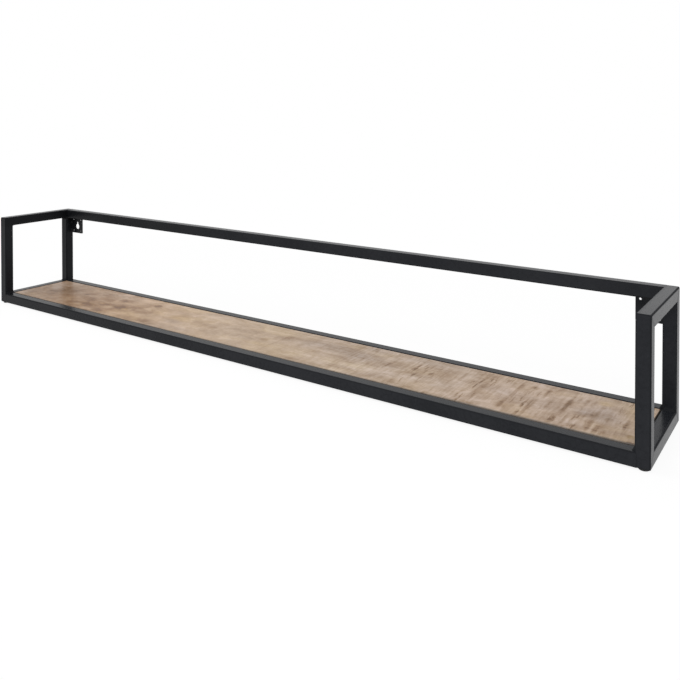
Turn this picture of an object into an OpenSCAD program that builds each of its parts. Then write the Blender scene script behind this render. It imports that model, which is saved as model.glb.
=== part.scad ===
/* [Frame] */
// Overall length of the frame, left to right
frame_length = 1440; // [800:20:2000]
// Overall depth of the frame, front to back
frame_depth = 185; // [150:5:300]
// Height of the welded frame without its foot pads
frame_height = 197.5; // [150:2.5:320]
// Outside width of the square steel tube
tube_size = 20; // [18:1:30]
// Wall thickness of the tube
tube_wall = 1.5; // [1:0.25:2.5]
// Outside corner radius of the tube
tube_radius = 2.5; // [1:0.25:3.5]
// Leg of the weld fillet left in each inner corner
weld_leg = 4; // [2:0.5:6]

/* [Board] */
// Thickness of the wooden board
board_thickness = 16; // [12:1:16]
// How far the board's top stands above the bottom rails
board_proud = 0; // [0:0.5:4]
// Gap between the board and the frame on every side
board_gap = 1; // [0.2:0.1:2]
// Bevel on the board's long and short edges
board_bevel = 0.8; // [0.3:0.1:2]

/* [Board tabs] */
// Length of a tab along its rail
tab_length = 40; // [25:1:60]
// How far a tab reaches in under the board
tab_reach = 24; // [18:1:35]
// Thickness of a tab
tab_thickness = 2; // [1.5:0.25:2.5]
// Distance from a tab's free end to the middle of its screw hole
tab_hole_distance = 10; // [6:1:12]
// Corner radius at the free end of a tab
tab_radius = 5; // [2:0.5:10]
// Distance from the frame's end to the middle of an outer tab
tab_end_distance = 200; // [100:10:300]
// Hole in a tab for its board screw
tab_hole = 5; // [4.4:0.1:6]

/* [Board screws] */
// Diameter of a screw's shank
screw_shank = 4; // [3:0.5:4]
// Diameter of a screw's head
screw_head = 8.4; // [7:0.2:10]
// Height of a screw's head
screw_head_height = 2; // [1.6:0.2:2.4]
// Depth of the screw in the board
screw_grip = 11; // [6:1:11]

/* [Hanger plates] */
// Width of a hanger plate, along the top back rail
plate_width = 41; // [39:1:60]
// Height of a hanger plate, down the back post
plate_height = 38; // [36:1:60]
// Thickness of a hanger plate
plate_thickness = 2; // [1.5:0.25:3]
// Free corner radius of a hanger plate
plate_radius = 1.5; // [0.5:0.25:4]
// Diameter of the keyhole's round opening
keyhole_round = 14; // [11:0.5:16]
// Width of the keyhole's slot
keyhole_slot = 5.5; // [4:0.5:9]
// Whole height of the keyhole
keyhole_height = 19; // [17:0.5:24]
// Distance from the back post to the keyhole's centre line
keyhole_from_post = 22.5; // [20:0.5:25]
// Distance from the plate's lower edge to the bottom of the keyhole
keyhole_from_edge = 9.5; // [6:0.5:12]
// Diameter of the small screw holes in the plate's corners
corner_hole = 3.6; // [3:0.1:5.5]
// Distance from the back post to the nearer column of small holes
hole_from_post = 7; // [5:0.5:9]
// Distance between the two columns of small holes
hole_spacing_x = 27; // [24:0.5:29]
// Distance from the plate's lower edge to the lower row of small holes
hole_from_edge = 5.5; // [4:0.5:7]
// Distance between the two rows of small holes
hole_spacing_z = 27; // [23:0.5:28]

/* [Foot pads] */
// Diameter of a foot pad
pad_diameter = 14; // [8:0.5:16]
// Thickness of a foot pad
pad_thickness = 2.5; // [1:0.5:5]
// Bevel round the lower edge of a foot pad
pad_bevel = 0.5; // [0.2:0.1:0.8]

/* [Hidden] */
$fn = 48;
// Overrun of a cutting shape beyond what it cuts
over = 1;
// Free play between a weld fillet and a hanger plate
weld_clear = 0.3;
// Length of the screw's tapered tip
screw_tip = 3;
// Height of the straight rim of a screw's head
screw_rim = 1.2;
// Length, width and depth of the crossed slots in a screw's head
drive_length = 4.2;
drive_width = 0.9;
drive_depth = 1.4;
half_length = frame_length / 2;
half_depth = frame_depth / 2;
frame_bottom = pad_thickness;
frame_top = frame_bottom + frame_height;
rail_top = frame_bottom + tube_size;
inner_half_length = half_length - tube_size;
inner_half_depth = half_depth - tube_size;
tube_flat = tube_size - 2 * tube_radius;
tube_bore_radius = max(tube_radius - tube_wall, 0.2);
board_top = rail_top + board_proud;
board_bottom = board_top - board_thickness;
tab_bottom = board_bottom - tab_thickness;
tab_spots = [-half_length + tab_end_distance, 0, half_length - tab_end_distance];
tab_hole_in = tab_reach - tab_hole_distance;
plate_back = half_depth - tube_radius;
plate_front = plate_back - plate_thickness;
plate_top = frame_top - tube_size;
plate_bottom = plate_top - plate_height;
metal_colour = [0.17, 0.175, 0.185];
wood_colour = [0.69, 0.61, 0.54];
screw_colour = [0.62, 0.62, 0.6];
pad_colour = [0.06, 0.06, 0.06];

// An oblong outline with round corners, centred on the origin
module round_oblong(width, height, radius) {
    square([width - 2 * radius, height], center = true);
    square([width, height - 2 * radius], center = true);
    for (sx = [-1, 1], sy = [-1, 1])
        translate([sx * (width / 2 - radius), sy * (height / 2 - radius)])
            circle(r = radius);
}

// Solid bar of the tube's outside form along +Z, in the corner of the X and Y axes
module bar(length) {
    translate([tube_size / 2, tube_size / 2, 0])
        linear_extrude(length)
            round_oblong(tube_size, tube_size, tube_radius);
}

// The room inside a tube of the same place and length
module bore(length) {
    translate([tube_size / 2, tube_size / 2, -over])
        linear_extrude(length + 2 * over)
            round_oblong(tube_size - 2 * tube_wall, tube_size - 2 * tube_wall, tube_bore_radius);
}

// Concave strip of weld metal in the corner of the X and Y axes, drawn along +Z
module weld_strip(leg, length) {
    linear_extrude(length)
        difference() {
            square(leg);
            translate([leg, leg])
                circle(r = leg);
        }
}

// Outline of an end frame, drawn in the Y and Z directions, with ground round corners
module end_outline() {
    translate([0, frame_height / 2])
        round_oblong(frame_depth, frame_height, tube_radius);
}

// Turns a shape drawn in the plane of Y and Z into a slab across the width of the tube
module across(length) {
    rotate([90, 0, 90])
        linear_extrude(length)
            children();
}

// Mitred share of the end frame that belongs to a post, or to a rail
module post_share() {
    polygon([[-half_depth - over, -over], [-inner_half_depth + over, tube_size + over],
        [-inner_half_depth + over, frame_height - tube_size - over],
        [-half_depth - over, frame_height + over]]);
}
module rail_share() {
    polygon([[-half_depth - over, -over], [half_depth + over, -over],
        [inner_half_depth - over, tube_size + over],
        [-inner_half_depth + over, tube_size + over]]);
}

// Front post of an end frame, which lies from X = 0 to the tube's width and stands on Z = 0
module post_form() {
    intersection() {
        translate([0, -half_depth, 0])
            difference() {
                bar(frame_height);
                bore(frame_height);
            }
        across(tube_size)
            post_share();
        across(tube_size)
            end_outline();
    }
}

// Bottom rail of the same end frame
module rail_form() {
    intersection() {
        translate([0, -half_depth, tube_size])
            rotate([-90, 0, 0])
                difference() {
                    bar(frame_depth);
                    bore(frame_depth);
                }
        across(tube_size)
            rail_share();
        across(tube_size)
            end_outline();
    }
}

// The four places of an end frame's tubes: a post and a rail, and their mirror images
module end_post(back) {
    mirror([0, back ? 1 : 0, 0])
        post_form();
}
module end_rail(top) {
    translate([0, 0, top ? frame_height : 0])
        mirror([0, 0, top ? 1 : 0])
            rail_form();
}

// Puts a piece of the left end frame in its place, or mirrors it to the right end
module at_end(right) {
    mirror([right ? 1 : 0, 0, 0])
        translate([-half_length, 0, frame_bottom])
            children();
}

// Long rail, cut square between the end frames
module long_rail(top, back) {
    low = top ? frame_height - tube_size : 0;
    near = back ? inner_half_depth : -half_depth;
    translate([-inner_half_length, near, frame_bottom + low + tube_size])
        rotate([0, 90, 0])
            difference() {
                bar(2 * inner_half_length);
                bore(2 * inner_half_length);
            }
}

// Weld fillets in the four inner corners of an end frame, on the flat of the tube
module end_fillets() {
    for (top = [0, 1], back = [0, 1])
        translate([0, 0, top * frame_height])
            mirror([0, 0, top])
                mirror([0, back, 0])
                    translate([tube_radius, -inner_half_depth, tube_size])
                        rotate([90, 0, 90])
                            weld_strip(weld_leg, tube_flat);
}

// Weld fillets at both ends of a long rail, on its top or on its underside
module long_fillets(from_y, width, level, down) {
    for (side = [0, 1])
        mirror([side, 0, 0])
            translate([-inner_half_length, from_y, level])
                mirror([0, 0, down ? 1 : 0])
                    translate([0, width, 0])
                        rotate([90, 0, 0])
                            weld_strip(weld_leg, width);
}

// Welds, ground flush, that fill the grooves where a long rail meets the round edges
// of an end frame: one on the rail's outer side, one on its top or underside
module flush_welds(top, back) {
    for (right = [false, true])
        mirror([right ? 1 : 0, 0, 0])
            translate([-inner_half_length, 0, frame_bottom + (top ? frame_height : 0)])
                mirror([0, 0, top ? 1 : 0])
                    mirror([0, back ? 1 : 0, 0]) {
                        translate([0, -half_depth, tube_radius])
                            mirror([1, 0, 0])
                                weld_strip(tube_radius, tube_flat);
                        translate([0, -inner_half_depth - tube_radius, 0])
                            rotate([90, 0, 0])
                                mirror([1, 0, 0])
                                    weld_strip(tube_radius, tube_flat);
                    }
}

module left_front_post() {
    color(metal_colour)
        at_end(false)
            end_post(false);
}
module left_back_post() {
    color(metal_colour)
        at_end(false)
            end_post(true);
}
module left_top_rail() {
    color(metal_colour)
        at_end(false)
            end_rail(true);
}
module left_bottom_rail() {
    color(metal_colour)
        at_end(false)
            end_rail(false);
}
module right_front_post() {
    color(metal_colour)
        at_end(true)
            end_post(false);
}
module right_back_post() {
    color(metal_colour)
        at_end(true)
            end_post(true);
}
module right_top_rail() {
    color(metal_colour)
        at_end(true)
            end_rail(true);
}
module right_bottom_rail() {
    color(metal_colour)
        at_end(true)
            end_rail(false);
}

module bottom_front_rail() {
    color(metal_colour)
        long_rail(false, false);
}
module bottom_back_rail() {
    color(metal_colour)
        long_rail(false, true);
}
module top_back_rail() {
    color(metal_colour)
        long_rail(true, true);
}

// All the weld metal that shows after grinding
module frame_welds() {
    back_start = inner_half_depth + tube_radius;
    color(metal_colour) {
        for (right = [false, true])
            at_end(right)
                end_fillets();
        long_fillets(-half_depth + tube_radius, tube_flat, rail_top, false);
        long_fillets(back_start, tube_flat, rail_top, false);
        long_fillets(back_start, plate_front - weld_clear - back_start, plate_top, true);
        flush_welds(false, false);
        flush_welds(false, true);
        flush_welds(true, true);
    }
}

// One tab with its weld edge on Y = 0 and its underside on Z = 0
module tab() {
    linear_extrude(tab_thickness)
        difference() {
            union() {
                translate([-tab_length / 2, 0])
                    square([tab_length, tab_reach - tab_radius]);
                translate([-tab_length / 2 + tab_radius, 0])
                    square([tab_length - 2 * tab_radius, tab_reach]);
                for (side = [-1, 1])
                    translate([side * (tab_length / 2 - tab_radius), tab_reach - tab_radius])
                        circle(r = tab_radius);
            }
            translate([0, tab_hole_in])
                circle(d = tab_hole);
        }
}
module place_tab(spot, back) {
    mirror([0, back ? 1 : 0, 0])
        translate([tab_spots[spot], -inner_half_depth, tab_bottom])
            children();
}
module front_left_tab() {
    color(metal_colour)
        place_tab(0, false)
            tab();
}
module front_middle_tab() {
    color(metal_colour)
        place_tab(1, false)
            tab();
}
module front_right_tab() {
    color(metal_colour)
        place_tab(2, false)
            tab();
}
module back_left_tab() {
    color(metal_colour)
        place_tab(0, true)
            tab();
}
module back_middle_tab() {
    color(metal_colour)
        place_tab(1, true)
            tab();
}
module back_right_tab() {
    color(metal_colour)
        place_tab(2, true)
            tab();
}

// Pan-head wood screw that comes up through a tab, its head against the tab's underside
module screw() {
    shank_length = tab_thickness + screw_grip - screw_tip;
    difference() {
        rotate_extrude()
            polygon([[0, -screw_head_height],
                [screw_head / 2 - (screw_head_height - screw_rim), -screw_head_height],
                [screw_head / 2, -screw_rim], [screw_head / 2, 0],
                [screw_shank / 2, 0], [screw_shank / 2, shank_length],
                [0, shank_length + screw_tip]]);
        for (turn = [0, 90])
            rotate([0, 0, turn])
                translate([-drive_length / 2, -drive_width / 2, -screw_head_height - over])
                    cube([drive_length, drive_width, drive_depth + over]);
    }
}
module board_screws() {
    color(screw_colour)
        for (back = [false, true], spot = [0, 1, 2])
            place_tab(spot, back)
                translate([0, tab_hole_in, 0])
                    screw();
}

// Board with bevelled edges and a pilot hole over each tab
module shelf_board() {
    size_x = 2 * (inner_half_length - board_gap);
    size_y = 2 * (inner_half_depth - board_gap);
    color(wood_colour)
        difference() {
            intersection() {
                translate([-size_x / 2, 0, board_bottom])
                    rotate([90, 0, 90])
                        linear_extrude(size_x)
                            bevelled(size_y, board_thickness, board_bevel);
                translate([0, size_y / 2, board_bottom])
                    rotate([90, 0, 0])
                        linear_extrude(size_y)
                            bevelled(size_x, board_thickness, board_bevel);
                translate([0, -size_y / 2, 0])
                    linear_extrude(board_top + over)
                        bevelled(size_x, size_y, board_bevel);
            }
            for (back = [false, true], spot = [0, 1, 2])
                place_tab(spot, back)
                    translate([0, tab_hole_in, tab_thickness])
                        pilot_hole();
        }
}

// A rectangle standing on its lower side, with all four corners cut off
module bevelled(width, height, cut) {
    polygon([[-width / 2 + cut, 0], [width / 2 - cut, 0], [width / 2, cut],
        [width / 2, height - cut], [width / 2 - cut, height],
        [-width / 2 + cut, height], [-width / 2, height - cut], [-width / 2, cut]]);
}

// The room that a screw has cut for itself in the board, with its pointed end
module pilot_hole() {
    straight = screw_grip - screw_tip;
    rotate_extrude()
        polygon([[0, -over], [screw_shank / 2, -over], [screw_shank / 2, straight],
            [0, screw_grip]]);
}

// Hanger plate with its keyhole and corner holes, in the corner of the post and the rail
module hanger_plate() {
    round_centre = keyhole_from_edge + keyhole_round / 2;
    slot_centre = keyhole_from_edge + keyhole_height - keyhole_slot / 2;
    translate([-inner_half_length, plate_back, plate_bottom])
        rotate([90, 0, 0])
            linear_extrude(plate_thickness)
                difference() {
                    union() {
                        square([plate_width - plate_radius, plate_height]);
                        translate([0, plate_radius])
                            square([plate_width, plate_height - plate_radius]);
                        translate([plate_width - plate_radius, plate_radius])
                            circle(r = plate_radius);
                    }
                    translate([keyhole_from_post, round_centre])
                        circle(d = keyhole_round);
                    translate([keyhole_from_post - keyhole_slot / 2, round_centre])
                        square([keyhole_slot, slot_centre - round_centre]);
                    translate([keyhole_from_post, slot_centre])
                        circle(d = keyhole_slot);
                    for (column = [0, 1], row = [0, 1])
                        translate([hole_from_post + column * hole_spacing_x,
                            hole_from_edge + row * hole_spacing_z])
                            circle(d = corner_hole);
                }
}
module left_hanger_plate() {
    color(metal_colour)
        hanger_plate();
}
module right_hanger_plate() {
    color(metal_colour)
        mirror([1, 0, 0])
            hanger_plate();
}

// Foot pad under the middle of a post
module foot_pad(right, back) {
    mirror([right ? 1 : 0, 0, 0])
        mirror([0, back ? 1 : 0, 0])
            translate([-half_length + tube_size / 2, -half_depth + tube_size / 2, 0])
                rotate_extrude()
                    polygon([[0, 0], [pad_diameter / 2 - pad_bevel, 0],
                        [pad_diameter / 2, pad_bevel],
                        [pad_diameter / 2, pad_thickness], [0, pad_thickness]]);
}
module front_left_foot_pad() {
    color(pad_colour)
        foot_pad(false, false);
}
module front_right_foot_pad() {
    color(pad_colour)
        foot_pad(true, false);
}
module back_left_foot_pad() {
    color(pad_colour)
        foot_pad(false, true);
}
module back_right_foot_pad() {
    color(pad_colour)
        foot_pad(true, true);
}

left_front_post();
left_back_post();
left_top_rail();
left_bottom_rail();
right_front_post();
right_back_post();
right_top_rail();
right_bottom_rail();
bottom_front_rail();
bottom_back_rail();
top_back_rail();
frame_welds();
shelf_board();
front_left_tab();
front_middle_tab();
front_right_tab();
back_left_tab();
back_middle_tab();
back_right_tab();
board_screws();
left_hanger_plate();
right_hanger_plate();
front_left_foot_pad();
front_right_foot_pad();
back_left_foot_pad();
back_right_foot_pad();
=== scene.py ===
import math

import bmesh
import bpy
from mathutils import Matrix, Vector


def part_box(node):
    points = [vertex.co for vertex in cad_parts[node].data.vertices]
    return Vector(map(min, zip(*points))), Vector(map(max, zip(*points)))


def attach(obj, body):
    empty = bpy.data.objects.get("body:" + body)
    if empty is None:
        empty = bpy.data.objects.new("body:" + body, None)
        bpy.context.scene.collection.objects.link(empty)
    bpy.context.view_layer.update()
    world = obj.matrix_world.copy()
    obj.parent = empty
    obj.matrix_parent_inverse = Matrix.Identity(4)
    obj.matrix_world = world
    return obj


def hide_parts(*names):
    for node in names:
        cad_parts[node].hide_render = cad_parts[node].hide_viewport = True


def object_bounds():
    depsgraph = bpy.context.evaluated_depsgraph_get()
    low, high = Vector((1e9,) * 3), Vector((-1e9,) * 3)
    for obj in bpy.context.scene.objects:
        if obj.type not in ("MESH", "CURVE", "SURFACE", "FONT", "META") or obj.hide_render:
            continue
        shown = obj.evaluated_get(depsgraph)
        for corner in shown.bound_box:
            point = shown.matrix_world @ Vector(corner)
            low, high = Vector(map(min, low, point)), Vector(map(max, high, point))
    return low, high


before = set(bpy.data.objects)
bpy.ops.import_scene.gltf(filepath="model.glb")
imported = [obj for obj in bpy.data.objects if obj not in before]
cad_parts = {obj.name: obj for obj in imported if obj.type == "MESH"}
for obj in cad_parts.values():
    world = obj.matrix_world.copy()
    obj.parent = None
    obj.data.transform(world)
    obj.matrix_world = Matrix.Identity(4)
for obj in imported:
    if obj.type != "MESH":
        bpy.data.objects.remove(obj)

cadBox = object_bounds()
print("frame loaded:", len(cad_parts), "nodes")


# helpers for modelling: everything is deselected before a new shape is added

def letGo():
    if bpy.context.object and bpy.context.object.mode == "EDIT":
        bpy.ops.object.mode_set(mode="OBJECT")
    bpy.ops.object.select_all(action="DESELECT")


def focus(piece):
    letGo()
    piece.select_set(True)
    bpy.context.view_layer.objects.active = piece


def setPlace(piece):
    focus(piece)
    bpy.ops.object.transform_apply(location=True, rotation=True, scale=True)
    return piece


def addBlock(name, low, high):
    letGo()
    middle = [(a + b) / 2 for a, b in zip(low, high)]
    bpy.ops.mesh.primitive_cube_add(size=1, location=middle)
    piece = bpy.context.object
    piece.name = piece.data.name = name
    piece.scale = [b - a for a, b in zip(low, high)]
    return setPlace(piece)


def addRod(name, middle, radius, length, sides, turn=(0, 0, 0)):
    letGo()
    bpy.ops.mesh.primitive_cylinder_add(vertices=sides, radius=radius, depth=length,
                                        location=middle, rotation=turn)
    piece = bpy.context.object
    piece.name = piece.data.name = name
    return setPlace(piece)


def choose(piece, kind, wanted):  # edit mode, with only the wanted parts selected
    focus(piece)
    bpy.ops.object.mode_set(mode="EDIT")
    bpy.ops.mesh.select_mode(type=kind)
    bpy.ops.mesh.select_all(action="DESELECT")
    shape = bmesh.from_edit_mesh(piece.data)
    parts = {"VERT": shape.verts, "EDGE": shape.edges, "FACE": shape.faces}[kind]
    for part in parts:
        if wanted(part):
            part.select_set(True)
    bmesh.update_edit_mesh(piece.data)


def middleOf(part):
    return sum((corner.co for corner in part.verts), Vector()) / len(part.verts)


def runsAlong(edge, axis):
    run = edge.verts[1].co - edge.verts[0].co
    return abs(run[axis]) > 0.999 * run.length


def near(a, b):  # the same place, but for rounding
    return abs(a - b) < 0.00002


def finishWith(piece, kind, **settings):
    focus(piece)
    modifier = piece.modifiers.new(kind.title(), kind)
    for key, value in settings.items():
        setattr(modifier, key, value)
    bpy.ops.object.modifier_apply(modifier=modifier.name)


def cutWith(piece, cutter):
    finishWith(piece, "BOOLEAN", operation="DIFFERENCE", solver="EXACT", object=cutter)
    bpy.data.objects.remove(cutter)


def softenEdges(piece, width):
    finishWith(piece, "BEVEL", width=width, segments=2, limit_method="ANGLE",
               angle_limit=math.radians(50))


def softShade(piece, degrees=32):
    focus(piece)
    bpy.ops.object.shade_smooth_by_angle(angle=math.radians(degrees))
    finishWith(piece, "WEIGHTED_NORMAL", keep_sharp=True)


def twinOf(piece, name, place=None):
    focus(piece)
    bpy.ops.object.duplicate()
    twin = bpy.context.object
    twin.name = twin.data.name = name
    if place is not None:
        twin.matrix_world = place
        setPlace(twin)
        if place.determinant() < 0:
            choose(twin, "FACE", lambda face: True)
            bpy.ops.mesh.normals_make_consistent(inside=False)
            letGo()
    return twin


def joined(pieces, name):
    letGo()
    for piece in pieces:
        piece.select_set(True)
    bpy.context.view_layer.objects.active = pieces[0]
    bpy.ops.object.join()
    pieces[0].name = pieces[0].data.name = name
    return pieces[0]


# helpers for materials

class Value:  # an output socket that sums and products can be made with
    def __init__(self, finish, socket):
        self.finish, self.socket = finish, socket

    def __add__(self, other):
        return self.finish.maths("ADD", self, other)

    def __sub__(self, other):
        return self.finish.maths("SUBTRACT", self, other)

    def __rsub__(self, other):
        return self.finish.maths("SUBTRACT", other, self)

    def __mul__(self, other):
        return self.finish.maths("MULTIPLY", self, other)

    def __abs__(self):
        return self.finish.maths("ABSOLUTE", self)

    __radd__ = __add__


class Finish:  # one material and its nodes
    def __init__(self, name):
        self.material = bpy.data.materials.new(name)
        self.material.use_nodes = True
        self.tree = self.material.node_tree
        self.tree.nodes.clear()
        self.place = self.node("ShaderNodeTexCoord", output="Object")
        self.x, self.y, self.z = self.parts(self.place)

    def node(self, kind, settings=None, sockets=None, output=0):
        made = self.tree.nodes.new(kind)
        for key, value in (settings or {}).items():
            if key == "stops":
                ramp = made.color_ramp
                while len(ramp.elements) < len(value):
                    ramp.elements.new(1)
                for element, (at, colour) in zip(ramp.elements, value):
                    element.position, element.color = at, (*colour, 1)
            else:
                setattr(made, key, value)
        for key, value in (sockets or {}).items():
            if isinstance(value, Value):
                self.tree.links.new(value.socket, made.inputs[key])
            else:
                made.inputs[key].default_value = value
        return Value(self, made.outputs[output]) if len(made.outputs) else made

    def maths(self, operation, *values):
        return self.node("ShaderNodeMath", {"operation": operation}, dict(enumerate(values)))

    def parts(self, vector):
        split = self.node("ShaderNodeSeparateXYZ", sockets={0: vector}).socket.node
        return [Value(self, socket) for socket in split.outputs]

    def vector(self, x, y, z):
        return self.node("ShaderNodeCombineXYZ", sockets={0: x, 1: y, 2: z})

    def stretch(self, factors, vector=None):
        return self.node("ShaderNodeVectorMath", {"operation": "MULTIPLY"},
                         {0: vector or self.place, 1: factors})

    def noise(self, vector, scale=1.0, detail=3.0, roughness=0.5, distortion=0.0):
        return self.node("ShaderNodeTexNoise", None, {
            "Vector": vector, "Scale": scale, "Detail": detail, "Roughness": roughness,
            "Distortion": distortion})

    def step(self, value, low, high):  # 0 below low, 1 above high, eased in between
        return self.node("ShaderNodeMapRange", {"interpolation_type": "SMOOTHSTEP"},
                         {0: value, 1: low, 2: high, 3: 0.0, 4: 1.0})

    def ramp(self, value, stops):
        return self.node("ShaderNodeValToRGB", {"stops": stops}, {0: value})

    def mixed(self, factor, first, second, blend="MIX"):
        first, second = [c if isinstance(c, Value) else (*c, 1) for c in (first, second)]
        return self.node("ShaderNodeMix", {"data_type": "RGBA", "blend_type": blend},
                         {0: factor, 6: first, 7: second}, output=2)

    def bump(self, height, strength, distance, under=None):
        sockets = {"Height": height, "Strength": strength, "Distance": distance}
        if under is not None:
            sockets["Normal"] = under
        return self.node("ShaderNodeBump", None, sockets)

    def surface(self, sockets):
        shader = self.node("ShaderNodeBsdfPrincipled", None, sockets)
        self.node("ShaderNodeOutputMaterial", None, {"Surface": shader})
        return self.material


def dress(piece, material, slot, *nodes):
    piece.data.materials.clear()
    piece.data.materials.append(material)
    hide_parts(*nodes)
    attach(piece, "root")


# black powder coat on the steel

coat = {
    "deep": (0.0130, 0.0140, 0.0168),
    "pale": (0.0190, 0.0202, 0.0236),
    # the dark colour painted on the rounded edges as shade
    "worn": (0.0085, 0.0090, 0.0105),
    "blend": (0.36, 0.66),  # where the clouds turn from deep to pale
    "roughness": 0.28, "cloudRough": 0.10, "mottleRough": 0.12, "ior": 1.19,
    "peelBump": (0.10, 0.00025), "weldBump": (0.35, 0.0006),  # strength and depth
    "clouds": 9, "mottle": 160, "peel": 620, "grit": 2600,  # in waves to the metre
    "paintedShadeSpan": (-0.90, 0.25),  # painted shade along X: where it is darkest, and where the full colour begins
    "paintedShadeLeft": 0.5, "paintedShadeTop": 0.2,  # share of the colour painted dark as shade there, and more on the top rails
    "topRails": (0.175, 0.182),  # the height where the top rails begin
    "weldBand": (0.002, 0.006),  # half the width of a ground weld, solid and faded
    "weldReach": (0.008, 0.003),  # how far it reaches past the end frame, faded and solid
    "weldRipple": 210, "weldRough": 0.05,
    "edgeSlope": 0.1, "edgeShade": 0.6, "edgeRough": 0.50,  # the tubes' rounded edges: painted shade in the colour, and rougher
}


def markRounding(piece):  # 0 on the flats of a tube, 1 on its rounded edges
    layer = piece.data.attributes.new("rounding", "FLOAT", "FACE")
    for face in piece.data.polygons:
        steepest = max(abs(part) for part in face.normal)
        layer.data[face.index].value = min(1.0, (1 - steepest) / coat["edgeSlope"])


def coatMaterial():
    paint = Finish("blackPowderCoat")
    cloud = paint.noise(paint.place, coat["clouds"], 3)
    fine = paint.noise(paint.place, coat["mottle"], 4, 0.6)
    peel = paint.noise(paint.place, coat["peel"], 2, 0.5)
    grit = paint.noise(paint.place, coat["grit"], 2, 0.5)
    colour = paint.mixed(paint.step(cloud * 0.6 + fine * 0.4, *coat["blend"]),
                         coat["deep"], coat["pale"])
    # painted shade: the colour darkens towards the left end, most on the rails at the top
    leftness = 1 - paint.step(paint.x, *coat["paintedShadeSpan"])
    paintedShadeLoss = paint.step(paint.z, *coat["topRails"]) * coat["paintedShadeTop"] + coat["paintedShadeLeft"]
    paintedShade = 1 - leftness * paintedShadeLoss
    colour = paint.mixed(1.0, colour, paint.vector(paintedShade, paintedShade, paintedShade), "MULTIPLY")
    # ground welds: a band along each mitre and round each end of a long rail
    low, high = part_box("left_bottom_rail")[0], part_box("left_top_rail")[1]
    inward = abs(paint.y) * -1 + high.y
    rise = abs(paint.z - (low.z + high.z) / 2) * -1 + (high.z - low.z) / 2
    fromJoint = abs(abs(paint.x) - abs(high.x))
    nearest = paint.maths("MINIMUM", abs(inward - rise), fromJoint)
    ground = 1 - paint.step(nearest, *coat["weldBand"])
    faded, solid = [abs(high.x) - reach for reach in coat["weldReach"]]
    ground = ground * paint.step(abs(paint.x), faded, solid)
    # painted shade: the colour darkens on the tubes' rounded edges, which are also rougher
    rounding = paint.node("ShaderNodeAttribute", {"attribute_name": "rounding"}, output=2)
    colour = paint.mixed(rounding * coat["edgeShade"], colour, coat["worn"])
    roughness = coat["roughness"] + (cloud - 0.5) * coat["cloudRough"]
    roughness = roughness + (fine - 0.5) * coat["mottleRough"]
    roughness = roughness + ground * coat["weldRough"] + rounding * coat["edgeRough"]
    peelBump = paint.bump(peel * 0.7 + grit * 0.3, *coat["peelBump"])
    ripples = paint.noise(paint.place, coat["weldRipple"], 3, 0.55)
    weldBump = paint.bump(ripples * ground, *coat["weldBump"], peelBump)
    return paint.surface({
        "Base Color": colour, "Roughness": roughness, "Normal": weldBump, "IOR": coat["ior"]})


blackCoat = coatMaterial()
print("powder coat made")


# end frames: a ring of square tube, cut along its mitres into posts and rails

endFrame = {"tube": 0.020, "edgeRadius": 0.0025, "edgeSteps": 7}


def makeEndFrames():
    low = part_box("left_bottom_rail")[0]
    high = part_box("left_top_rail")[1]
    tube, radius = endFrame["tube"], endFrame["edgeRadius"]
    ring = addBlock("endRing", low, high)
    choose(ring, "FACE", lambda face: abs(face.normal.x) > 0.9)
    bpy.ops.mesh.inset(thickness=tube, use_individual=True)
    bpy.ops.mesh.bridge_edge_loops()

    def rounded(edge):
        middle = middleOf(edge)
        if runsAlong(edge, 0):
            outerDepth = near(middle.y, low.y) or near(middle.y, high.y)
            return outerDepth and (near(middle.z, low.z) or near(middle.z, high.z))
        return runsAlong(edge, 1) or runsAlong(edge, 2)
    choose(ring, "EDGE", rounded)
    bpy.ops.mesh.bevel(offset=radius, segments=endFrame["edgeSteps"], profile=0.5,
                       affect="EDGES", clamp_overlap=False)
    letGo()
    # each share of the ring keeps what lies inside two planes through the mitres
    cuts = {
        "front_post": (((low.y, low.z), (1, -1)), ((low.y, high.z), (1, 1))),
        "back_post": (((high.y, low.z), (-1, -1)), ((high.y, high.z), (-1, 1))),
        "bottom_rail": (((low.y, low.z), (-1, 1)), ((high.y, low.z), (1, 1))),
        "top_rail": (((low.y, high.z), (-1, -1)), ((high.y, high.z), (1, -1))),
    }
    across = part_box("right_bottom_rail")[0].x - low.x
    for share, planes in cuts.items():
        left = twinOf(ring, "left_" + share + "_tube")
        for (depth, height), (towardBack, up) in planes:
            choose(left, "FACE", lambda face: True)
            bpy.ops.mesh.bisect(plane_co=(low.x, depth, height), plane_no=(0, towardBack, up),
                                use_fill=True, clear_outer=True, threshold=0.000001)
        letGo()
        softShade(left)
        right = twinOf(left, "right_" + share + "_tube", Matrix.Translation((across, 0, 0)))
        markRounding(left)
        markRounding(right)
        dress(left, blackCoat, "black_frame", "left_" + share)
        dress(right, blackCoat, "black_frame", "right_" + share)
    bpy.data.objects.remove(ring)


makeEndFrames()
print("end frames made")


# long rails, butted between the end frames

def makeLongRails():
    for node in ("bottom_front_rail", "bottom_back_rail", "top_back_rail"):
        rail = addBlock(node + "_tube", *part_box(node))
        choose(rail, "EDGE", lambda edge: runsAlong(edge, 0))
        bpy.ops.mesh.bevel(offset=endFrame["edgeRadius"], segments=endFrame["edgeSteps"],
                           profile=0.5, affect="EDGES")
        letGo()
        softShade(rail)
        markRounding(rail)
        dress(rail, blackCoat, "black_frame", node)


makeLongRails()
print("long rails made")


# welds: rippled fillets in the inner corners, flush collars at the long rails' ends

weld = {"leg": 0.0040, "ripples": 9, "ripple": 0.90, "taper": 0.62, "hollow": 0.20,
        "toe": 0.98,  # share of the leg that the hollow takes
        "plateGap": 0.0003, "shadeAngle": 50}


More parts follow.
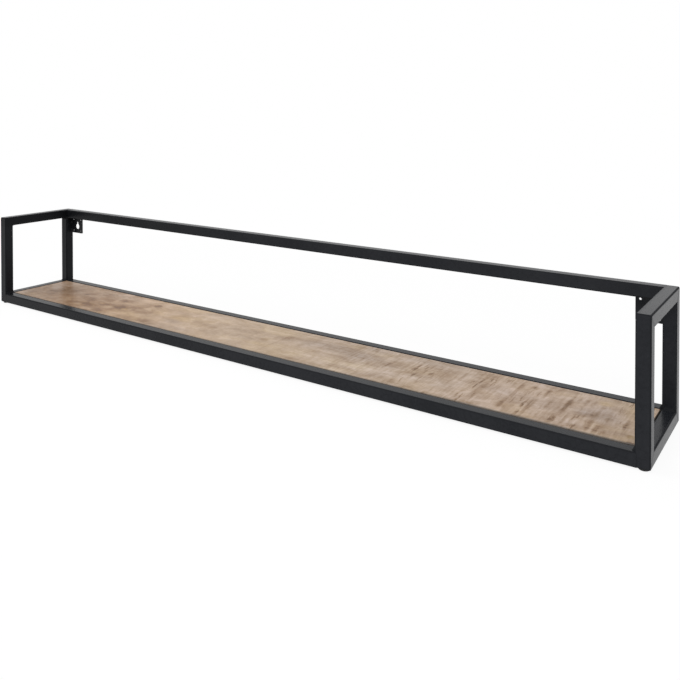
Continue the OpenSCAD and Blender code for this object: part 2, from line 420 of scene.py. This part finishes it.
def beadShape(name, leg, length):  # in the corner of the X and Y planes, along +Z
    bead = addBlock(name, (0, 0, 0), (leg, leg, length))
    choose(bead, "EDGE", lambda edge: runsAlong(edge, 2) and near(middleOf(edge).x, leg)
           and near(middleOf(edge).y, leg))
    bpy.ops.mesh.bevel(offset=leg * weld["toe"], segments=6, profile=weld["hollow"],
                       affect="EDGES", clamp_overlap=False)
    choose(bead, "EDGE", lambda edge: runsAlong(edge, 2))
    rings = 2 * weld["ripples"]
    bpy.ops.mesh.subdivide(number_cuts=rings - 1)
    for ring in range(rings + 1):
        size = weld["ripple"] if ring % 2 else 1.0
        if ring in (0, rings):
            size = weld["taper"]
        elif ring in (1, rings - 1):
            size = 0.5 * (1 + weld["taper"])
        height = length * ring / rings
        choose(bead, "VERT", lambda corner: near(corner.co.z, height))
        bpy.ops.transform.resize(value=(size, size, 1), center_override=(0, 0, height))
    focus(bead)
    bpy.ops.object.shade_smooth_by_angle(angle=math.radians(weld["shadeAngle"]))
    return bead


def inCorner(corner, xTo, yTo, along):  # the bead's own X, Y and Z laid along three directions
    columns = [Vector(xTo), Vector(yTo), Vector(along), Vector(corner)]
    return Matrix([[column[row] for column in columns] for row in range(3)] + [[0, 0, 0, 1]])


def makeWelds():
    low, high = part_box("left_bottom_rail")[0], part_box("left_top_rail")[1]
    tube, radius = endFrame["tube"], endFrame["edgeRadius"]
    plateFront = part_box("left_hanger_plate")[0].y
    flat = tube - 2 * radius
    inner, railTop, railUnder = high.x, low.z + tube, high.z - tube
    bead = beadShape("weldBead", weld["leg"], flat)
    welds = []
    for side in (-1, 1):
        for back in (-1, 1):
            for height, up in ((railTop, 1), (railUnder, -1)):
                corner = (side * (abs(low.x) - radius), back * (high.y - tube), height)
                welds.append(twinOf(bead, "endBead", inCorner(
                    corner, (0, -back, 0), (0, 0, up), (-side, 0, 0))))
            corner = (side * abs(inner), back * (high.y - radius), railTop)
            welds.append(twinOf(bead, "longBead", inCorner(
                corner, (-side, 0, 0), (0, 0, 1), (0, -back, 0))))
        # the last one stops short of the hanger plate
        shorter = (plateFront - weld["plateGap"] - (high.y - tube + radius)) / flat
        corner = (side * abs(inner), high.y - tube + radius, railUnder)
        welds.append(twinOf(bead, "plateBead", inCorner(
            corner, (-side, 0, 0), (0, 0, -1), (0, shorter, 0))))
        for node in ("bottom_front_rail", "bottom_back_rail", "top_back_rail"):
            railLow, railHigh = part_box(node)
            ends = sorted((side * abs(inner), side * (abs(inner) + radius)))
            collar = addBlock("collar", (ends[0], railLow.y, railLow.z),
                              (ends[1], railHigh.y, railHigh.z))
            choose(collar, "EDGE", lambda edge: runsAlong(edge, 0))
            bpy.ops.mesh.bevel(offset=radius, segments=endFrame["edgeSteps"], profile=0.5,
                               affect="EDGES")
            letGo()
            softShade(collar)
            welds.append(collar)
    bpy.data.objects.remove(bead)
    seams = joined(welds, "weld_seams")
    markRounding(seams)
    dress(seams, blackCoat, "black_frame", "frame_welds")


makeWelds()
print("welds made")


# hanger plates with keyholes

plate = {  # In is from the plate's outer edge, Up and Top are from its lower edge
    "cornerRadius": 0.0015, "keyholeIn": 0.0225, "keyholeUp": 0.0165,
    "keyholeRadius": 0.007, "slotWidth": 0.0055, "slotTop": 0.02575, "holeRadius": 0.0018,
    "holesIn": (0.007, 0.034), "holesUp": (0.0055, 0.0325), "edge": 0.00025,
    "tackLeg": 0.0018, "tackLength": 0.007,
    "lowTackUp": 0.002, "highTackDown": 0.016, "railTackIn": 0.012,
}


def makePlates():
    low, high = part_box("left_hanger_plate")
    left = addBlock("left_hanger_plate_steel", low, high)
    choose(left, "EDGE", lambda edge: runsAlong(edge, 1) and near(middleOf(edge).x, high.x)
           and near(middleOf(edge).z, low.z))
    bpy.ops.mesh.bevel(offset=plate["cornerRadius"], segments=5, profile=0.5, affect="EDGES")
    letGo()
    middle, flatTurn = (low.y + high.y) / 2, (math.pi / 2, 0, 0)
    thick = 3 * (high.y - low.y)
    keyX, keyZ = low.x + plate["keyholeIn"], low.z + plate["keyholeUp"]
    half, slotTop = plate["slotWidth"] / 2, low.z + plate["slotTop"]
    cutWith(left, addRod("cutter", (keyX, middle, keyZ), plate["keyholeRadius"], thick, 64,
                         flatTurn))
    cutWith(left, addRod("cutter", (keyX, middle, slotTop), half, thick, 48, flatTurn))
    cutWith(left, addBlock("cutter", (keyX - half, middle - thick / 2, keyZ),
                           (keyX + half, middle + thick / 2, slotTop)))
    for inward in plate["holesIn"]:
        for up in plate["holesUp"]:
            cutWith(left, addRod("cutter", (low.x + inward, middle, low.z + up),
                                 plate["holeRadius"], thick, 32, flatTurn))
    softenEdges(left, plate["edge"])
    softShade(left, 40)
    # two tack welds to the post and one to the rail above
    tack = beadShape("tack", plate["tackLeg"], plate["tackLength"])
    tacks = [twinOf(tack, "postTack", inCorner((low.x, low.y, height),
                                               (1, 0, 0), (0, -1, 0), (0, 0, 1)))
             for height in (low.z + plate["lowTackUp"], high.z - plate["highTackDown"])]
    tacks.append(twinOf(tack, "railTack", inCorner(
        (high.x - plate["railTackIn"], low.y, high.z), (0, 0, -1), (0, -1, 0), (1, 0, 0))))
    bpy.data.objects.remove(tack)
    left = joined([left] + tacks, "left_hanger_plate_steel")
    right = twinOf(left, "right_hanger_plate_steel", Matrix.Scale(-1, 4, (1, 0, 0)))
    dress(left, blackCoat, "black_frame", "left_hanger_plate")
    dress(right, blackCoat, "black_frame", "right_hanger_plate")


makePlates()
print("hanger plates made")


# tabs under the board, welded to the long rails

tab = {"cornerRadius": 0.005, "holeIn": 0.014, "holeRadius": 0.0025,
       "holeCut": 0.01,  # length of the cutter
       "edge": 0.0003, "tackLeg": 0.0019, "tackLength": 0.009,
       "tackIn": 0.001, "tackBack": 0.0001}  # from the tab's sides and behind its edge


def makeTabs():
    low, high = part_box("front_middle_tab")
    first = addBlock("tabShape", low, high)
    choose(first, "EDGE", lambda edge: runsAlong(edge, 2) and near(middleOf(edge).y, high.y))
    bpy.ops.mesh.bevel(offset=tab["cornerRadius"], segments=8, profile=0.5, affect="EDGES")
    letGo()
    cutWith(first, addRod("cutter", (0, low.y + tab["holeIn"], low.z), tab["holeRadius"],
                          tab["holeCut"], 40))
    softenEdges(first, tab["edge"])
    softShade(first, 40)
    bead = beadShape("tack", tab["tackLeg"], tab["tackLength"])
    tacks = [twinOf(bead, "tabTack", inCorner((at, low.y - tab["tackBack"], low.z),
                                              (0, 0, -1), (0, 1, 0), (1, 0, 0)))
             for at in (low.x + tab["tackIn"], high.x - tab["tackIn"] - tab["tackLength"])]
    bpy.data.objects.remove(bead)
    first = joined([first] + tacks, "tabShape")
    for node in sorted(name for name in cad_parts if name.endswith("_tab")):
        nodeLow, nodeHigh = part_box(node)
        shift = Matrix.Translation(((nodeLow.x + nodeHigh.x) / 2, 0, 0))
        if node.startswith("back"):
            shift = shift @ Matrix.Scale(-1, 4, (0, 1, 0))
        dress(twinOf(first, node + "_steel", shift), blackCoat, "black_frame", node)
    bpy.data.objects.remove(first)


makeTabs()
print("tabs made")


# wood screws, up through the tabs

screw = {"headRadius": 0.0042, "headHeight": 0.0020, "rim": 0.0012, "shankRadius": 0.0020,
         "shankLength": 0.013, "tip": 0.003, "tipShare": 0.12, "threads": 9,
         "threadDepth": 0.78, "slotLength": 0.0042, "slotWidth": 0.0009, "slotDepth": 0.0014,
         "slotCut": 0.001,  # how far the cutter stands out of the head
         "tones": [(0.3, (0.46, 0.45, 0.42)), (0.55, (0.60, 0.60, 0.58)),
                   (0.75, (0.68, 0.66, 0.60))],
         "clouds": 260, "scratches": 1800, "roughness": 0.30, "bump": (0.12, 0.0002)}


def screwMaterial():
    zinc = Finish("zincPlating")
    cloud = zinc.noise(zinc.place, screw["clouds"], 4, 0.6)
    fine = zinc.noise(zinc.stretch((1, 1, 4)), screw["scratches"], 3, 0.6)
    return zinc.surface({
        "Base Color": zinc.ramp(cloud, screw["tones"]),
        "Roughness": screw["roughness"] + (cloud - 0.5) * 0.3, "Metallic": 1.0,
        "Normal": zinc.bump(fine, *screw["bump"])})


def makeScrews():
    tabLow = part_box("front_middle_tab")[0]
    under = tabLow.z
    at = Vector((0, tabLow.y + tab["holeIn"], under))
    head = addRod("screwHead", at - Vector((0, 0, screw["headHeight"] / 2)), screw["headRadius"],
                  screw["headHeight"], 36)
    choose(head, "EDGE", lambda edge: middleOf(edge).z < under - screw["headHeight"] * 0.9)
    bpy.ops.mesh.bevel(offset=screw["headHeight"] - screw["rim"], segments=5, profile=0.5,
                       affect="EDGES")
    letGo()
    lowest = under - screw["headHeight"]
    long, wide = screw["slotLength"] / 2, screw["slotWidth"] / 2
    for reach in ((wide, long), (long, wide)):
        cutWith(head, addBlock(
            "cutter", (at.x - reach[0], at.y - reach[1], lowest - screw["slotCut"]),
            (at.x + reach[0], at.y + reach[1], lowest + screw["slotDepth"])))
    softShade(head, 40)
    straight = screw["shankLength"] - screw["tip"]
    shank = addRod("screwShank", at + Vector((0, 0, straight / 2)), screw["shankRadius"],
                   straight, 20)
    choose(shank, "EDGE", lambda edge: runsAlong(edge, 2))
    bpy.ops.mesh.subdivide(number_cuts=2 * screw["threads"] - 1)
    for ring in range(1, 2 * screw["threads"], 2):
        height = under + straight * ring / (2 * screw["threads"])
        choose(shank, "VERT", lambda corner: near(corner.co.z, height))
        bpy.ops.transform.resize(value=(screw["threadDepth"], screw["threadDepth"], 1),
                                 center_override=(at.x, at.y, height))
    choose(shank, "FACE", lambda face: near(middleOf(face).z, under + straight))
    bpy.ops.mesh.extrude_region_move(TRANSFORM_OT_translate={"value": (0, 0, screw["tip"])})
    bpy.ops.transform.resize(value=(screw["tipShare"], screw["tipShare"], 1),
                             center_override=(at.x, at.y, under + straight + screw["tip"]))
    letGo()
    softShade(shank, 25)
    first = joined([head, shank], "screwShape")
    screws = []
    for node in sorted(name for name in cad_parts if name.endswith("_tab")):
        nodeLow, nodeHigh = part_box(node)
        shift = Matrix.Translation(((nodeLow.x + nodeHigh.x) / 2, 0, 0))
        if node.startswith("back"):
            shift = shift @ Matrix.Rotation(math.pi, 4, "Z")
        screws.append(twinOf(first, "screw", shift))
    bpy.data.objects.remove(first)
    dress(joined(screws, "board_screws_zinc"), screwMaterial(), "screw_steel", "board_screws")


makeScrews()
print("screws made")


# foot pads

pad = {"sides": 48, "edge": 0.0005, "rim": 0.0016, "dish": 0.0005,
       "dark": (0.012, 0.012, 0.012), "light": (0.026, 0.026, 0.025),
       "clouds": 300, "grain": 2400, "roughness": 0.72, "bump": (0.25, 0.0003)}


def padMaterial():
    rubber = Finish("padRubber")
    cloud = rubber.noise(rubber.place, pad["clouds"], 3)
    fine = rubber.noise(rubber.place, pad["grain"], 3, 0.6)
    return rubber.surface({
        "Base Color": rubber.mixed(rubber.step(cloud, 0.35, 0.7), pad["dark"], pad["light"]),
        "Roughness": pad["roughness"] + (cloud - 0.5) * 0.2,
        "Normal": rubber.bump(fine, *pad["bump"])})


def makePads():
    low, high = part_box("front_left_foot_pad")
    middle = (low + high) / 2
    first = addRod("padShape", middle, (high.x - low.x) / 2, high.z - low.z, pad["sides"])
    choose(first, "EDGE", lambda edge: near(middleOf(edge).z, low.z))
    bpy.ops.mesh.bevel(offset=pad["edge"], segments=4, profile=0.5, affect="EDGES")
    choose(first, "FACE", lambda face: face.normal.z < -0.99)
    bpy.ops.mesh.inset(thickness=pad["rim"])
    bpy.ops.mesh.extrude_region_move(TRANSFORM_OT_translate={"value": (0, 0, pad["dish"])})
    letGo()
    softShade(first, 35)
    rubber = padMaterial()
    for node in sorted(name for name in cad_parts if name.endswith("_foot_pad")):
        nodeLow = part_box(node)[0]
        shift = Matrix.Translation((nodeLow.x - low.x, nodeLow.y - low.y, 0))
        dress(twinOf(first, node + "_rubber", shift), rubber, "foot_rubber", node)
    bpy.data.objects.remove(first)


makePads()
print("foot pads made")


# the wooden board

board = {
    "edge": 0.0011, "edgeSteps": 3, "cutsLong": 260, "cutsDeep": 26,
    "wear": 0.00035, "wearScale": 0.022,  # depth and size of the hollows worn into it
    "roughness": 0.42, "streakRough": 0.16, "poreRough": 0.1, "ior": 1.42,
    "relief": (0.5, 0.35, 0.4), "bump": (0.35, 0.0006),  # relief of streaks, fibres and pores
    "tones": [  # colours from the darkest to the lightest wood
        (0.00, (0.125, 0.055, 0.010)), (0.25, (0.225, 0.130, 0.060)),
        (0.50, (0.330, 0.225, 0.140)), (0.75, (0.425, 0.310, 0.215)),
        (1.00, (0.530, 0.410, 0.315))],
    # along the board, from its left end at 0 to its right end at 1:
    "level": [  # how light the wood is
        (0.00, 0.27), (0.10, 0.28), (0.155, 0.33), (0.21, 0.46), (0.29, 0.68), (0.38, 0.73),
        (0.48, 0.68), (0.58, 0.64), (0.67, 0.61), (0.77, 0.63), (0.87, 0.67), (0.97, 0.61)],
    "tint": [  # browner at the left, greyer at the right
        (0.00, (1.0, 0.98, 1.02)), (0.10, (1.0, 0.93, 0.88)), (0.20, (1.0, 0.90, 0.80)),
        (0.29, (1.0, 0.925, 0.83)), (0.387, (1.0, 0.96, 0.90)), (0.48, (1.0, 0.985, 0.95)),
        (0.577, (1.0, 1.01, 1.04)), (0.672, (1.0, 1.03, 1.10)), (0.767, (1.0, 1.015, 1.05)),
        (0.862, (1.0, 1.0, 1.06)), (1.0, (1.0, 1.0, 1.04))],
    # how strong each pattern is
    "blotches": [
        (0.00, 0.90), (0.20, 0.90), (0.30, 0.70), (0.42, 0.45), (0.58, 0.50), (1.00, 0.45)],
    "mottle": [
        (0.00, 1.10), (0.14, 1.15), (0.20, 1.60), (0.27, 1.40), (0.50, 0.95), (0.66, 1.15),
        (1.00, 1.05)],
    "streaks": [(0.00, 0.25), (0.45, 0.30), (0.58, 0.75), (0.72, 0.55), (1.00, 0.30)],
    "sawing": [(0.40, 0.10), (0.58, 0.40), (0.66, 0.90), (0.76, 0.85), (0.85, 0.90), (1.00, 0.95)],
    "dashes": [(0.55, 0.00), (0.68, 0.40), (0.80, 0.70), (1.00, 0.80)],
    # painted shadow along the front edge, stronger towards the right
    "frontShade": [(0.00, 0.10), (0.40, 0.25), (0.74, 0.30), (0.84, 0.75), (1.00, 0.85)],
    # the same all along the board:
    "fibre": 0.34, "pores": 0.10, "speckle": 0.36, "speckleScale": 170,
    "poreCut": (0.60, 0.72), "dashCut": (0.52, 0.70), "bandCut": (0.42, 0.62),  # begins, full
    # the colour of the painted shade on the bevels and the front edge, how far in it reaches, and
    # how dark the bevels are painted
    "edgeShadeColour": (0.050, 0.046, 0.042), "frontShadeDepth": (0.006, 0.001),
    "bevelDepth": (0.0012, 0.0006), "bevelShade": 0.75,
    "rippleAlong": 0.03, "rippleAcross": 0.010, "driftAcross": 0.040, "sawRipple": 0.007,
    "hueScale": 1.3, "hueRange": 0.9,  # drift of the colour between grey and golden
    "markRagged": (0.006, 0.020),  # how far a mark's outline wanders, along and across
    "raggedScale": (55, 70),
    "markFade": (0.1, 1.5),  # where a mark begins to fade and where it ends, in its own sizes
    "markWorn": 0.9, "markSoaked": 2.6, "markLess": 0.75,  # a mark's strength from place to place
    "grey": (0.93, 1.0, 1.18), "golden": (1.0, 0.95, 0.60),  # how the patches change the colour
    # marks: place along and across the board, half length and half width in mm, change of tone
    "marks": [
        # broad areas
        (-680, 45, 40, 35, 0.22), (-560, 58, 150, 22, 0.12), (-440, 50, 100, 26, 0.20),
        (-300, 56, 120, 20, 0.12), (-632, -12, 60, 25, -0.10), (-690, -60, 30, 18, 0.32),
        (-450, -40, 50, 26, -0.14), (-405, -48, 46, 20, -0.22), (-350, -8, 70, 24, -0.20),
        (-290, -54, 50, 20, -0.20), (-226, -12, 34, 13, -0.22), (-375, 34, 22, 11, 0.18),
        (-578, 0, 30, 20, 0.12), (-110, 40, 90, 24, 0.06), (-90, -45, 90, 30, 0.12),
        (30, 0, 50, 18, 0.08), (140, 25, 90, 26, -0.15), (290, 10, 90, 28, -0.16),
        (230, -30, 70, 14, 0.16), (-175, -56, 34, 9, -0.16), (130, -63, 60, 8, -0.16),
        (400, -35, 90, 30, 0.08), (510, 12, 50, 15, 0.16), (625, 45, 50, 24, 0.16),
        # knots and stains
        (-675, -3, 8, 9, -0.24), (-640, -14, 10, 9, -0.20), (-636, 12, 14, 8, -0.16),
        (-545, 10, 13, 9, -0.24), (-528, 0, 9, 6, -0.14), (-495, 46, 8, 6, -0.20),
        (-470, -37, 16, 14, -0.50), (-425, -15, 18, 7, -0.24), (-415, -56, 13, 8, -0.46),
        (-424, 24, 12, 8, -0.30), (-385, -15, 20, 10, -0.52), (-325, 38, 10, 9, -0.55),
        (-345, 16, 13, 10, -0.20), (-355, -4, 16, 13, -0.18), (-306, -5, 10, 18, -0.12),
        (-268, -57, 14, 9, -0.15), (-215, -27, 24, 9, -0.14), (-165, 26, 6, 5, -0.12),
        (-120, -8, 9, 8, -0.12), (15, -8, 9, 8, -0.30), (48, 29, 8, 9, -0.20),
        (20, -36, 34, 8, -0.14), (160, 22, 40, 12, -0.10), (240, -54, 14, 8, -0.22),
        (277, -51, 6, 9, -0.24), (298, -50, 8, 9, -0.24), (320, -51, 6, 11, -0.24),
        # lighter spots
        (-520, 45, 20, 14, 0.08), (-435, -2, 12, 8, 0.14), (-410, -32, 16, 9, 0.20),
        (-365, -48, 24, 12, 0.16), (-328, 8, 10, 6, 0.14), (-260, -32, 26, 11, 0.12),
        (130, -35, 44, 11, 0.10),
        # saw marks across the board
        (43, 0, 2, 62, -0.10), (325, 25, 3, 34, -0.18), (345, 46, 4, 12, -0.16),
        (363, 34, 3, 28, -0.18), (407, 28, 3, 26, -0.22), (408, -28, 3, 26, -0.18),
        (450, 4, 4, 62, -0.18), (461, -64, 6, 6, -0.45), (500, 0, 3, 64, -0.18),
        (497, -42, 5, 12, -0.38), (500, 44, 4, 13, -0.30), (521, 46, 6, 9, -0.32),
        (537, -28, 4, 36, -0.34), (543, 40, 4, 22, -0.40), (558, 0, 3, 28, -0.24),
        (583, 8, 4, 44, -0.50), (580, -54, 6, 11, -0.36), (592, 40, 3, 12, -0.34),
        (594, -41, 3, 24, -0.34), (604, 38, 4, 13, -0.40), (613, 34, 3, 12, -0.30),
        (628, -46, 4, 25, -0.50), (629, 30, 4, 12, -0.24), (640, -50, 5, 17, -0.46),
        (582, 24, 5, 8, -0.24), (619, -5, 9, 9, -0.18), (646, -8, 5, 8, -0.22),
        (652, -53, 3, 7, -0.24), (671, -14, 3, 20, -0.36), (684, -48, 5, 5, -0.34),
        (692, -70, 6, 4, -0.60), (608, 18, 6, 5, 0.14)],
    "patches": [  # the same for the colour: grey below 0, golden above
        (-655, 18, 44, 26, -0.35), (-590, 8, 60, 26, -0.45), (-460, 46, 80, 20, -0.25),
        (-680, -40, 30, 20, -0.25), (150, 22, 70, 22, -0.40), (-215, -27, 28, 10, -0.30),
        (640, 0, 26, 26, -0.50), (235, 10, 50, 26, -0.30), (-172, -52, 40, 10, -0.2),
        (-672, -3, 9, 9, 0.40), (-664, -50, 26, 6, 0.22), (-472, -38, 19, 12, 0.70),
        (-425, -16, 26, 10, 0.22), (-384, -15, 21, 10, 0.70), (-350, -6, 44, 22, 0.12),
        (-280, -4, 40, 14, 0.06), (-228, 6, 20, 14, 0.16), (-190, -48, 12, 7, 0.16),
        (15, -8, 12, 9, 0.14), (0, -34, 60, 12, 0.10), (190, 56, 20, 12, 0.14),
        (330, 15, 40, 30, 0.10), (430, -25, 14, 30, 0.12), (610, 52, 60, 14, 0.14),
        (610, -2, 13, 13, -0.35), (627, 44, 11, 11, 0.28), (669, 38, 12, 14, 0.26),
        (685, -48, 6, 6, 0.45)],
}


grain = {  # how fine each pattern is along, across and through the board, in waves to the metre
    "drift": (3, 9, 9), "ripple": (30, 45, 45), "blotch": (11, 17, 17), "mottle": (28, 40, 40),
    "streak": (9, 110, 110), "fibre": (34, 900, 900), "pores": (60, 1300, 900),
    "sawn": (230, 17, 17), "dashes": (200, 30, 30), "bands": (26, 3, 3),
    "soaked": (26, 210, 210), "worn": (90, 60, 60), "hue": (10, 18, 18),
}


def woodMaterial():
    wood = Finish("sawnWood")
    x, y, z = wood.x, wood.y, wood.z
    low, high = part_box("shelf_board")
    along = (x - low.x) * (1 / (high.x - low.x))

    def by(stops):  # a number that changes along the board
        return wood.ramp(along, [(at, (value, value, value)) for at, value in stops])

    # the grain runs along X and drifts, so most patterns are read at shifted places
    drift = wood.noise(wood.stretch(grain["drift"]), 1, 3, 0.5) - 0.5
    ripple = wood.noise(wood.stretch(grain["ripple"]), 1, 3, 0.55) - 0.5
    across = y + drift * board["driftAcross"] + ripple * board["rippleAcross"]
    grainPlace = wood.vector(x + ripple * board["rippleAlong"], across, z)
    sawPlace = wood.vector(x + ripple * board["sawRipple"], y, z)

    def pattern(name, place, detail, roughness):
        return wood.noise(wood.stretch(grain[name], place), 1, detail, roughness)

    blotch = pattern("blotch", grainPlace, 3, 0.5) - 0.5
    mottle = pattern("mottle", grainPlace, 4, 0.6) - 0.5
    streak = pattern("streak", grainPlace, 4, 0.6)
    fibre = pattern("fibre", grainPlace, 3, 0.6)
    pores = wood.step(pattern("pores", grainPlace, 2, 0.5), *board["poreCut"])
    speckle = wood.noise(wood.place, board["speckleScale"], 3, 0.6) - 0.5
    sawn = pattern("sawn", sawPlace, 4, 0.65) - 0.5
    dashes = wood.step(pattern("dashes", sawPlace, 3, 0.6), *board["dashCut"])
    bands = wood.step(pattern("bands", sawPlace, 3, 0.5), *board["bandCut"])
    tone = by(board["level"]) + blotch * by(board["blotches"]) + mottle * by(board["mottle"])
    tone = tone + (streak - 0.5) * by(board["streaks"])
    tone = tone + (fibre - 0.5) * board["fibre"] - pores * board["pores"]
    tone = tone + sawn * by(board["sawing"]) + speckle * board["speckle"]
    tone = tone - dashes * bands * by(board["dashes"])

    # knots, stains and saw marks that the board shows at certain places
    jitter, wander = [wood.noise(wood.place, scale, 3, 0.6) for scale in board["raggedScale"]]
    raggedX, raggedY = board["markRagged"]
    flatPlace = wood.vector(x + (jitter - 0.5) * raggedX, y + (wander - 0.5) * raggedY, 0.0)

    def spread(marks):
        total = 0.0
        for atX, atY, long, wide, change in marks:
            offset = wood.node("ShaderNodeVectorMath", {"operation": "SUBTRACT"},
                               {0: flatPlace, 1: (atX / 1000, atY / 1000, 0)})
            distance = wood.node("ShaderNodeVectorMath", {"operation": "LENGTH"}, {
                0: wood.stretch((1000 / long, 1000 / wide, 0), offset)}, output=1)
            total = (1 - wood.step(distance, *board["markFade"])) * change + total
        return total

    # they soak in along the fibres, so they are strong in some and weak in others
    soaked = pattern("soaked", grainPlace, 5, 0.65)
    worn = pattern("worn", wood.place, 3, 0.6)
    strength = worn * board["markWorn"] + soaked * board["markSoaked"] - board["markLess"]
    tone = tone + spread(board["marks"]) * strength

    hue = wood.noise(wood.stretch(grain["hue"], grainPlace), board["hueScale"], 3, 0.5)
    hue = (hue - 0.5) * board["hueRange"] + spread(board["patches"]) + 0.5
    colour = wood.mixed(1.0, wood.ramp(tone, board["tones"]),
                        wood.ramp(along, board["tint"]), "MULTIPLY")
    colour = wood.mixed(1.0, colour, wood.ramp(hue, [
        (0.0, board["grey"]), (0.5, (1, 1, 1)), (1.0, board["golden"])]), "MULTIPLY")

    # painted shade on its bevels and a wider band of painted shadow along the front edge, where
    # the board meets the frame
    outward = wood.maths("MAXIMUM", abs(x) - high.x, abs(y) - high.y)
    bevel = wood.step(outward, *[-depth for depth in board["bevelDepth"]]) * board["bevelShade"]
    begins, full = [high.y - depth for depth in board["frontShadeDepth"]]
    frontShade = wood.step(y * -1, begins, full) * by(board["frontShade"])
    colour = wood.mixed(wood.maths("MAXIMUM", bevel, frontShade), colour, board["edgeShadeColour"])

    ofStreaks, ofFibres, ofPores = board["relief"]
    height = streak * ofStreaks + fibre * ofFibres - pores * ofPores
    roughness = board["roughness"] + (streak - 0.5) * board["streakRough"]
    return wood.surface({
        "Base Color": colour, "Roughness": roughness + pores * board["poreRough"],
        "Normal": wood.bump(height, *board["bump"]), "IOR": board["ior"]})


def makeBoard():
    low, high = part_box("shelf_board")
    plank = addBlock("shelf_board_wood", low, high)
    choose(plank, "EDGE", lambda edge: True)
    bpy.ops.mesh.bevel(offset=board["edge"], segments=board["edgeSteps"], profile=0.5,
                       affect="EDGES")
    choose(plank, "EDGE", lambda edge: runsAlong(edge, 0) and edge.calc_length() > 1)
    bpy.ops.mesh.subdivide(number_cuts=board["cutsLong"])
    choose(plank, "EDGE", lambda edge: runsAlong(edge, 1) and edge.calc_length() > 0.1)
    bpy.ops.mesh.subdivide(number_cuts=board["cutsDeep"])
    letGo()
    wear = bpy.data.textures.new("boardWear", "CLOUDS")
    wear.noise_scale, wear.noise_depth = board["wearScale"], 3
    finishWith(plank, "DISPLACE", texture=wear, strength=board["wear"], mid_level=1.0,
               direction="NORMAL", texture_coords="LOCAL")
    softShade(plank, 45)
    dress(plank, woodMaterial(), "board_wood", "shelf_board")


makeBoard()
print("board made")


# studio: pale floor, white surroundings, soft lamps

studio = {
    "floor": (0.97, 0.97, 0.97), "floorSize": 60,
    "shadowShare": 0.10,  # how much of the shelf's shadow shows on the floor
    "shadowFade": (0.35, 1.0),  # how far from the shelf its shadow fades out, in metres
    "fill": 0.62,  # how strongly the white surroundings light the shelf
    "lamps": [  # place, aims at, width, height, watts
        ((1.2, -1.6, 2.4), (0.1, 0, 0.1), 2.2, 1.6, 38),
        ((-1.8, -0.6, 2.2), (-0.3, 0, 0.1), 1.8, 1.4, 22),
    ],
}


def makeStudio():
    world = bpy.data.worlds.new("studio")
    bpy.context.scene.world = world
    world.use_nodes = True
    nodes, links = world.node_tree.nodes, world.node_tree.links
    nodes.clear()
    path = nodes.new("ShaderNodeLightPath")
    seen = nodes.new("ShaderNodeMath")
    seen.operation = "MAXIMUM"
    links.new(path.outputs["Is Camera Ray"], seen.inputs[0])
    links.new(path.outputs["Is Glossy Ray"], seen.inputs[1])
    clear = nodes.new("ShaderNodeMath")
    clear.operation = "MAXIMUM"
    links.new(seen.outputs[0], clear.inputs[0])
    links.new(path.outputs["Is Transmission Ray"], clear.inputs[1])
    level = nodes.new("ShaderNodeMapRange")
    links.new(clear.outputs[0], level.inputs[0])
    level.inputs[3].default_value, level.inputs[4].default_value = studio["fill"], 1.0
    back = nodes.new("ShaderNodeBackground")
    back.inputs[0].default_value = (1, 1, 1, 1)
    links.new(level.outputs[0], back.inputs[1])
    out = nodes.new("ShaderNodeOutputWorld")
    links.new(back.outputs[0], out.inputs[0])

    letGo()
    bpy.ops.mesh.primitive_plane_add(size=studio["floorSize"], location=(0, 0, 0))
    floor = bpy.context.object
    floor.name = "studio_floor"
    paper = Finish("paleFloor")
    rays = paper.node("ShaderNodeLightPath").socket.node
    seenRay = Value(paper, rays.outputs["Is Camera Ray"])
    for other in ("Is Glossy Ray", "Is Transmission Ray"):
        seenRay = paper.maths("MAXIMUM", seenRay, Value(paper, rays.outputs[other]))
    matt = paper.node("ShaderNodeBsdfDiffuse", None, {"Color": (*studio["floor"], 1)})
    white = paper.node("ShaderNodeEmission", None, {"Color": (1, 1, 1, 1), "Strength": 1.0})
    past = paper.maths("MAXIMUM", abs(paper.x) - cadBox[1].x, 0.0)
    apart = paper.maths("SQRT", past * past + paper.y * paper.y)
    share = (1 - paper.step(apart, *studio["shadowFade"])) * studio["shadowShare"]
    both = paper.node("ShaderNodeMixShader", None, {
        0: seenRay * (1 - share), 1: matt, 2: white})
    paper.node("ShaderNodeOutputMaterial", None, {"Surface": both})
    floor.data.materials.append(paper.material)

    for place, aim, wide, high, watts in studio["lamps"]:
        bpy.ops.object.light_add(type="AREA", location=place)
        lamp = bpy.context.object
        lamp.data.shape, lamp.data.size, lamp.data.size_y = "RECTANGLE", wide, high
        lamp.data.energy = watts
        lamp.rotation_mode = "QUATERNION"
        lamp.rotation_quaternion = (Vector(place) - Vector(aim)).to_track_quat("Z", "Y")


makeStudio()
print("studio made")


# camera at the photograph's place

view = {"place": (0.92786, -1.08144, 0.46420), "turn": 0.6032, "tilt": -0.0160,
        "roll": 0.0001, "lens": 39.633, "sensor": 36, "shiftY": -0.3287, "clip": (0.02, 60)}


def makeCamera():
    letGo()
    bpy.ops.object.camera_add(location=view["place"])
    camera = bpy.context.object
    camera.name = "photo_camera"
    camera.data.sensor_width, camera.data.lens = view["sensor"], view["lens"]
    camera.data.shift_y = view["shiftY"]
    camera.data.clip_start, camera.data.clip_end = view["clip"]
    turned = (Matrix.Rotation(view["turn"], 4, "Z")
              @ Matrix.Rotation(math.pi / 2 + view["tilt"], 4, "X")
              @ Matrix.Rotation(view["roll"], 4, "Z"))
    camera.matrix_world = Matrix.Translation(view["place"]) @ turned
    bpy.context.scene.camera = camera
    bpy.context.scene.view_settings.view_transform = "Standard"


makeCamera()
print("camera set")

letGo()
